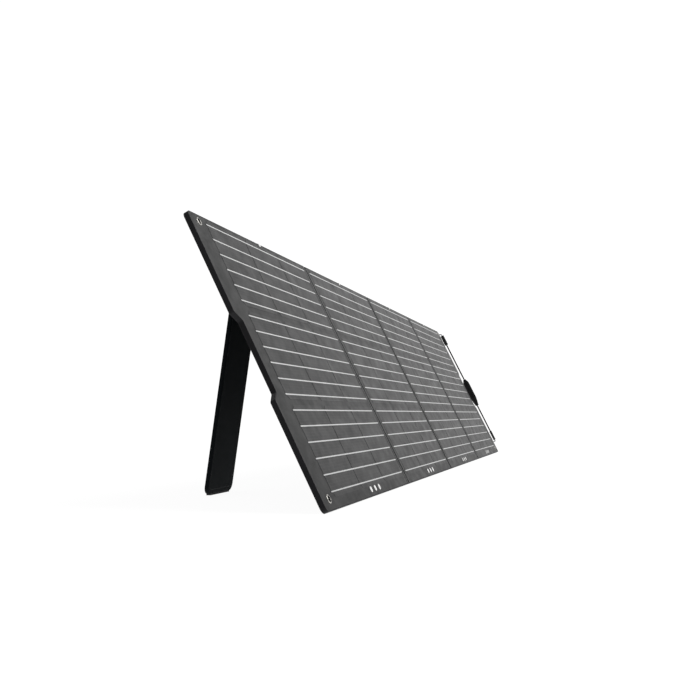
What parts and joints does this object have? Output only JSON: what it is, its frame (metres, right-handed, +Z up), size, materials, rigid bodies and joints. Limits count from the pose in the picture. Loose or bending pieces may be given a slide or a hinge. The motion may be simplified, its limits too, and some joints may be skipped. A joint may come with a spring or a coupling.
{
  "type": "folding solar panel kit",
  "caption": "Folding solar panel of hinged suitcase segments, standing tilted on fold-out kick-stand legs, with a carry handle and corner eyelets.",
  "frame": {"origin": "on the ground, under the middle of the standing object's bounding box", "axes": "+Z up, X along the row of panels, the glass side faces -Y and the legs stand towards +Y"},
  "size_m": [2.3162, 0.3034, 0.463],
  "materials": {
    "band": "black woven strip",
    "cells": "dark grey silicon under film",
    "cord": "black covered cord",
    "core": "light honeycomb board",
    "eyelets": "bright nickel",
    "leg_board": "board covered in black cloth",
    "pads": "white moulded pad",
    "plastic": "black moulded plastic",
    "ribbons": "bright tinned ribbon",
    "rubber": "black rubber",
    "sheet": "dark grey embossed laminate",
    "shell": "fabric-covered moulded tray, near black",
    "steel": "plain steel",
    "steel_black": "black powder coat",
    "terminal": "circuit board"
  },
  "bodies": {
    "panel_1": {"shell_1": "shell", "core_1": "core", "sheet_1": "sheet", "cells_1": "cells", "ribbons_1": "ribbons", "pads_1": "pads", "eyelets_1": "eyelets", "leg_bracket_left": "steel_black", "leg_pin_left": "steel", "leg_bracket_screws_left": "steel"},
    "panel_2": {"shell_2": "shell", "core_2": "core", "sheet_2": "sheet", "cells_2": "cells", "ribbons_2": "ribbons", "pads_2": "pads", "fold_band_12": "band", "fold_band_23": "band"},
    "panel_3": {"shell_3": "shell", "core_3": "core", "sheet_3": "sheet", "cells_3": "cells", "ribbons_3": "ribbons", "pads_3": "pads", "fold_band_34": "band"},
    "panel_4": {"shell_4": "shell", "core_4": "core", "sheet_4": "sheet", "cells_4": "cells", "ribbons_4": "ribbons", "pads_4": "pads", "eyelets_4": "eyelets", "leg_bracket_right": "steel_black", "leg_pin_right": "steel", "leg_bracket_screws_right": "steel", "handle_lugs": "plastic", "handle_lug_screws": "steel", "output_tray": "plastic", "output_seal": "rubber", "output_lid": "plastic", "output_board": "terminal", "output_sockets": "plastic", "output_lid_screws": "steel"},
    "leg_left": {"leg_leaf_left": "steel_black", "leg_rivets_left": "steel", "leg_board_left": "leg_board", "leg_sole_left": "rubber"},
    "leg_right": {"leg_leaf_right": "steel_black", "leg_rivets_right": "steel", "leg_board_right": "leg_board", "leg_sole_right": "rubber"},
    "handle": {"handle_arm_top": "steel", "handle_arm_bottom": "steel", "handle_bar": "cord", "handle_grip": "rubber", "handle_sleeve_top": "plastic", "handle_sleeve_bottom": "plastic"}
  },
  "joints": [
    {"name": "fold_23", "type": "hinge", "parent": "panel_2", "child": "panel_3", "pos_m": [-0.02112, -0.02812, 0.22809], "axis": [0, 0.4462, 0.8949], "range_deg": [0, 180], "deforming": ["fold_band_23"]},
    {"name": "fold_12", "type": "hinge", "parent": "panel_2", "child": "panel_1", "pos_m": [-0.56912, -0.0402, 0.23412], "axis": [0, 0.4462, 0.8949], "range_deg": [0, 180], "deforming": ["fold_band_12"]},
    {"name": "fold_34", "type": "hinge", "parent": "panel_3", "child": "panel_4", "pos_m": [0.52688, -0.0402, 0.23412], "axis": [0, -0.4462, -0.8949], "range_deg": [0, 180], "deforming": ["fold_band_34"]},
    {"name": "leg_left_swing", "type": "hinge", "parent": "panel_1", "child": "leg_left", "pos_m": [-0.85862, 0.08612, 0.44378], "axis": [1, 0, 0], "range_deg": [-34.4, 0]},
    {"name": "leg_right_swing", "type": "hinge", "parent": "panel_4", "child": "leg_right", "pos_m": [0.81638, 0.08612, 0.44378], "axis": [1, 0, 0], "range_deg": [-34.4, 0]},
    {"name": "handle_swing", "type": "hinge", "parent": "panel_4", "child": "handle", "pos_m": [1.11288, -0.03349, 0.23077], "axis": [0, 0.4462, 0.8949], "range_deg": [-58, 82]}
  ],
  "couplings": [
    {"joint": "fold_12", "follows": "fold_34", "ratio": 1},
    {"joint": "fold_23", "follows": "fold_34", "ratio": 1}
  ]
}
